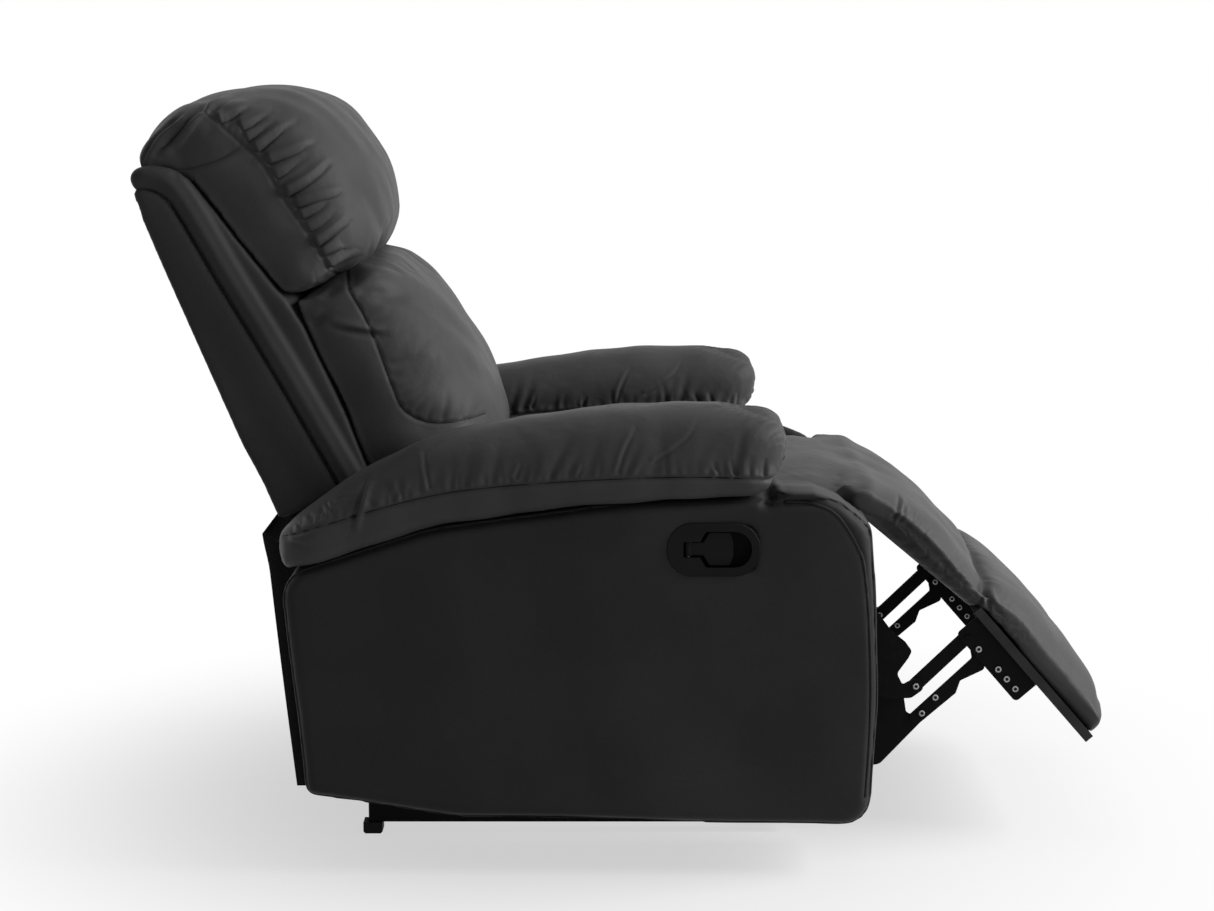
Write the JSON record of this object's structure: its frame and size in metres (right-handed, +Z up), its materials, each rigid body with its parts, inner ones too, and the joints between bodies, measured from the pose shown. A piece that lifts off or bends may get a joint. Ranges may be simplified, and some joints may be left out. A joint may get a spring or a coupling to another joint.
{
  "type": "recliner chair",
  "caption": "Padded leather recliner with rolled arms, a two-cushion reclining back, a link-carried footrest and a pull latch in the right arm.",
  "frame": {"origin": "floor level, under the middle of the chair's outline in the pose of the picture", "axes": "+X the way the chair faces, +Y the sitter's left, +Z up"},
  "size_m": [1.2434, 0.794, 0.9663],
  "materials": {
    "panel_leather": "satin",
    "pad_leather": "satin",
    "core_cloth": "matte",
    "skirt_cloth": "matte",
    "base_steel": "satin",
    "link_steel": "satin",
    "spring_wire": "satin",
    "frame_wood": "matte",
    "board_wood": "matte",
    "foot_plastic": "matte",
    "latch_plastic": "satin",
    "cable_plastic": "satin"
  },
  "bodies": {
    "base": {"base_front_tube": "base_steel", "base_rear_tube": "base_steel", "base_rail_left": "base_steel", "base_rail_right": "base_steel", "tilt_bracket_left": "base_steel", "tilt_bracket_right": "base_steel", "foot_rear_left": "foot_plastic", "foot_rear_right": "foot_plastic", "foot_front_left": "foot_plastic", "foot_front_right": "foot_plastic"},
    "body": {"arm_box_left": "panel_leather", "arm_box_right": "panel_leather", "arm_pad_left": "pad_leather", "arm_pad_right": "pad_leather", "seat_plate_left": "link_steel", "seat_plate_right": "link_steel", "seat_side_beam_left": "frame_wood", "seat_side_beam_right": "frame_wood", "arm_cleat_left": "frame_wood", "arm_cleat_right": "frame_wood", "seat_front_beam": "frame_wood", "seat_rear_beam": "frame_wood", "seat_cushion": "pad_leather", "seat_spring_1": "spring_wire", "seat_spring_2": "spring_wire", "seat_spring_3": "spring_wire", "seat_spring_4": "spring_wire", "back_skirt": "skirt_cloth", "latch_bezel": "latch_plastic", "latch_pin": "spring_wire", "release_cable": "cable_plastic"},
    "backrest": {"back_shell": "panel_leather", "back_core": "core_cloth", "head_pillow": "pad_leather", "lumbar_cushion": "pad_leather", "back_top_rail": "frame_wood", "back_bottom_rail": "frame_wood", "back_spring_1": "spring_wire", "back_spring_2": "spring_wire", "back_spring_3": "spring_wire", "back_post_left": "frame_wood", "back_post_right": "frame_wood", "back_bracket_left": "link_steel", "back_bracket_right": "link_steel"},
    "footrest": {"footrest_board": "board_wood", "footrest_pad": "pad_leather", "footrest_bracket_left": "link_steel", "footrest_bracket_right": "link_steel"},
    "upper_links": {"upper_link_left": "link_steel", "upper_link_right": "link_steel"},
    "rear_links": {"rear_link_left": "link_steel", "rear_link_right": "link_steel"},
    "lower_links": {"lower_link_left": "link_steel", "lower_link_right": "link_steel"},
    "front_links": {"front_link_left": "link_steel", "front_link_right": "link_steel"},
    "latch": {"latch_paddle": "latch_plastic"}
  },
  "joints": [
    {"name": "body_tilt", "type": "hinge", "parent": "base", "child": "body", "pos_m": [-0.21596, 0, 0.15], "axis": [0, -1, 0], "range_deg": [0, 5]},
    {"name": "back_recline", "type": "hinge", "parent": "body", "child": "backrest", "pos_m": [-0.37596, 0, 0.405], "axis": [0, -1, 0], "range_deg": [-12, 25]},
    {"name": "footrest_swing", "type": "hinge", "parent": "body", "child": "footrest", "pos_m": [0.30404, 0, 0.446], "axis": [0, -1, 0], "range_deg": [-41, 36]},
    {"name": "upper_link_turn", "type": "hinge", "parent": "footrest", "child": "upper_links", "pos_m": [0.43755, 0, 0.26375], "axis": [0, -1, 0], "range_deg": [-37, 42]},
    {"name": "rear_link_turn", "type": "hinge", "parent": "upper_links", "child": "rear_links", "pos_m": [0.37205, 0, 0.20005], "axis": [0, -1, 0], "range_deg": [-42, 37]},
    {"name": "lower_link_turn", "type": "hinge", "parent": "footrest", "child": "lower_links", "pos_m": [0.45199, 0, 0.24902], "axis": [0, -1, 0], "range_deg": [-37, 42]},
    {"name": "front_link_turn", "type": "hinge", "parent": "lower_links", "child": "front_links", "pos_m": [0.38099, 0, 0.16302], "axis": [0, -1, 0], "range_deg": [-42, 37]},
    {"name": "latch_pull", "type": "hinge", "parent": "body", "child": "latch", "pos_m": [0.07274, -0.3783, 0.411], "axis": [0, 0, -1], "range_deg": [0, 30], "stiffness_Nm_per_rad": 0.6, "springref_deg": -14.32}
  ],
  "couplings": [
    {"joint": "upper_link_turn", "follows": "footrest_swing", "ratio": -1},
    {"joint": "rear_link_turn", "follows": "footrest_swing", "ratio": 1},
    {"joint": "lower_link_turn", "follows": "footrest_swing", "ratio": -1},
    {"joint": "front_link_turn", "follows": "footrest_swing", "ratio": 1}
  ]
}
